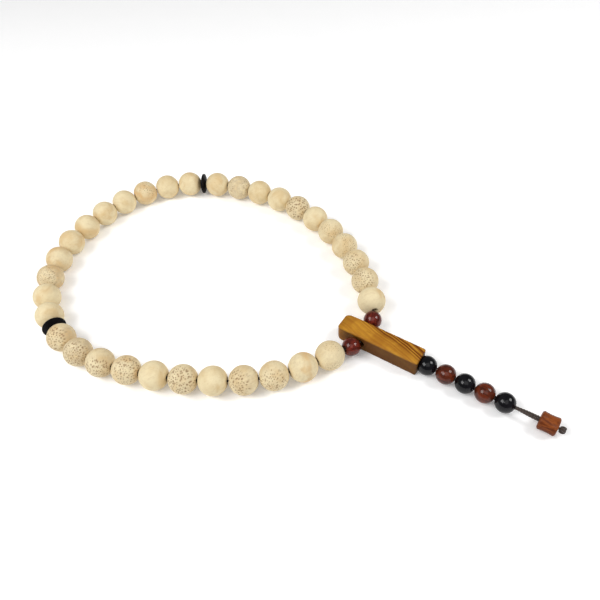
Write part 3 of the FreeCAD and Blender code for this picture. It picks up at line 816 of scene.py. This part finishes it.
def separator(number):
    """A black lens with a thin rim, fine turning lines and one ring groove on each face."""
    node = f"separator_{number}"
    low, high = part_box(node)
    rim, half, rim_half = (high.z - low.z) / 2 / MM, 1.1, 0.25
    ball = (rim ** 2 + (half - rim_half) ** 2) / (2 * (half - rim_half))
    face = []
    for share in np.linspace(0.04, 0.97, 46):
        distance = BORE + (rim - BORE) * share
        tool_lines = LINE_DEPTH * (0.5 + 0.5 * math.cos(distance * LINE_RATE))
        ring_groove = GROOVE_DEPTH * math.exp(-((distance - GROOVE_RADIUS) / GROOVE_WIDTH) ** 2)
        height = math.sqrt(ball ** 2 - distance ** 2) - ball + half
        face.append((distance, height - (tool_lines + ring_groove)))
    edge = [(rim - 0.03, rim_half), (rim, rim_half * 0.5), (rim, -rim_half * 0.5), (rim - 0.03, -rim_half)]
    under = [(distance, -height) for distance, height in reversed(face)]
    top = face[0][1] - 0.05
    bore = [(BORE, -top), (BORE, 0.0), (BORE, top)]
    turned_piece(node, bore + face + edge + under, loop_spots[node], DISC_BLACK, "separator", number * 3.3)


def small_ball(node, spot, bore, mouth, material, slot, seed):
    """A polished drilled ball, its surface a hair uneven from turning."""
    low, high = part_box(node)
    radius = (high.z - low.z) / 2 / MM
    outline = ball_outline(radius, bore, mouth, 64)
    shaped = []
    for distance, height in outline:
        unevenness = 0.0025 * (1 + math.sin(height * 9 + seed))
        shaped.append((distance * (1 - unevenness), height))
    turned_piece(node, shaped, spot, material, slot, seed)


def domed_bead(node, spot, bore):
    """The first tail bead: a ball with a flat face towards the head bead, its edge just broken."""
    low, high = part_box(node)
    radius = (high.z - low.z) / 2 / MM
    flat = (high.y - spot.point.y) / MM
    foot = math.sqrt(radius ** 2 - bore ** 2)
    rim = math.sqrt(radius ** 2 - flat ** 2)
    outline = [(bore, height) for height in np.linspace(-foot + 0.1, flat - EDGE, 5)]
    outline += [(distance, flat) for distance in np.linspace(bore + EDGE, rim - 0.16, 8)]
    outline += [(rim - 0.06, flat - 0.03), (rim, flat - 0.1)]
    top, bottom = math.asin((flat - 0.2) / radius), -math.asin((foot - EDGE) / radius)
    outline += arc_outline(radius, top, bottom, 48)
    turned_piece(node, outline, spot, TAIL_BLACK, "tail_black", 1.0)


def barrel(node, spot, bore):
    """A turned barrel with bevelled ends, a slight waist and fine tool lines."""
    half, rim, waist, bevel = 2.8, 3.05, 2.85, 0.5  # half-length, end radius, middle radius, bevel
    end_line, side_line = 0.02, 0.012  # the depths of the tool lines
    top = half - bevel
    bore_wall = [(bore, height) for height in np.linspace(-half + 0.12, half - 0.12, 5)]
    end_face = [(bore + 0.1, half - end_line)]
    end_face += [(distance, half - end_line * math.sin(distance * 9) ** 2)
                 for distance in np.linspace(bore + 0.25, rim - bevel - 0.08, 10)]
    end_face += [(rim - bevel + 0.05, half - 0.06), (rim - 0.09, top + 0.13)]
    side = []
    for height in np.linspace(top - 0.05, -top + 0.05, 44):
        dip = (rim - waist) * (1 - (height / top) ** 2)
        side.append((rim - dip - side_line * (1 + math.sin(height * 17)), height))
    lower = [(distance, -height) for distance, height in reversed(end_face)]
    turned_piece(node, bore_wall + end_face + side + lower, spot, BARREL, "barrel", 2.6)


for disc_number in (1, 2):
    separator(disc_number)
for spacer, spacer_seed in (("spacer_bead_right", 9.0), ("spacer_bead_left", 8.0)):
    small_ball(spacer, loop_spots[spacer], BORE, MOUTH, SPACER, "spacer", spacer_seed)

TAIL_BORE, TAIL_MOUTH = 0.95, 1.1
domed_bead("tail_bead_1", spin_spot("tail_bead_1"), TAIL_BORE)
for tail_number in range(2, 6):
    is_red = tail_number % 2 == 0
    tail_node = f"tail_bead_{tail_number}"
    tail_finish = (TAIL_RED, "tail_red") if is_red else (TAIL_BLACK, "tail_black")
    small_ball(tail_node, spin_spot(tail_node), TAIL_BORE, TAIL_MOUTH, *tail_finish, tail_number * 2.1)
barrel_low, barrel_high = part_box("barrel_bead")
barrel("barrel_bead", Spot((barrel_low + barrel_high) / 2, tail_heading), TAIL_BORE)

# ---------------------------------------------------------------- head bead

HEAD_VOXEL = 0.14  # mm
FACET_LENGTH, FACET_FALL, FACET_SKEW = 6.2, 0.13, 0.25  # mm, and slopes along and across the bead
TOP_RIPPLE, SIDE_RIPPLE = 0.03, 0.02  # mm for each unit of ripple
MOST_RIPPLE = 1.5


def hand_ripple(x, y, z):
    """The unevenness of a hand-finished face, between plus and minus its most, at places in mm."""
    return np.sin(y * 1.7 + 0.6 * x) * np.sin(x * 1.1 + 2.0) + 0.5 * np.sin(y * 4.1 + z * 0.8)


def head_bead():
    """The head bead: the frame's bar remeshed finely, its corners worn and one end facet planed down."""
    source = frame["nodes"]["head_bead"]
    mesh = source.data.copy()
    mesh.materials.clear()
    mesh.transform(Matrix.Scale(1 / MM, 4))
    item = bpy.data.objects.new("head_bead_carved", mesh)
    bpy.context.scene.collection.objects.link(item)
    remesh = item.modifiers.new("remesh", "REMESH")
    remesh.mode, remesh.voxel_size = "VOXEL", HEAD_VOXEL
    smooth = item.modifiers.new("smooth", "SMOOTH")
    smooth.factor, smooth.iterations = 0.5, 3
    bpy.context.view_layer.update()
    evaluated = item.evaluated_get(bpy.context.evaluated_depsgraph_get())
    carved = bpy.data.meshes.new_from_object(evaluated)
    item.modifiers.clear()
    item.data = carved

    points = np.empty(len(carved.vertices) * 3, dtype=np.float32)
    carved.vertices.foreach_get("co", points)
    points = points.reshape(-1, 3).astype(float)
    low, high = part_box("head_bead")
    loop_end, top = high.y / MM, high.z / MM
    into_facet = points[:, 1] - (loop_end - FACET_LENGTH) + FACET_SKEW * points[:, 0]
    plane = top - np.clip(into_facet, 0, None) * FACET_FALL
    points[:, 2] = np.minimum(points[:, 2], plane)
    x, y, z = points.T
    ripple = hand_ripple(x, y, z)
    on_top = np.clip((z - top + 0.5) / 0.4, 0, 1)
    points[:, 2] -= TOP_RIPPLE * (MOST_RIPPLE + ripple) * on_top
    on_side = np.clip((np.abs(x) - high.x / MM + 0.4) / 0.3, 0, 1)
    points[:, 0] -= np.sign(x) * SIDE_RIPPLE * (MOST_RIPPLE + ripple) * on_side
    carved.vertices.foreach_set("co", (points * MM).astype(np.float32).ravel())
    carved.polygons.foreach_set("use_smooth", [True] * len(carved.polygons))
    carved.update()
    finished(item, HEAD, "head_bead", "head", "head_bead")


head_bead()
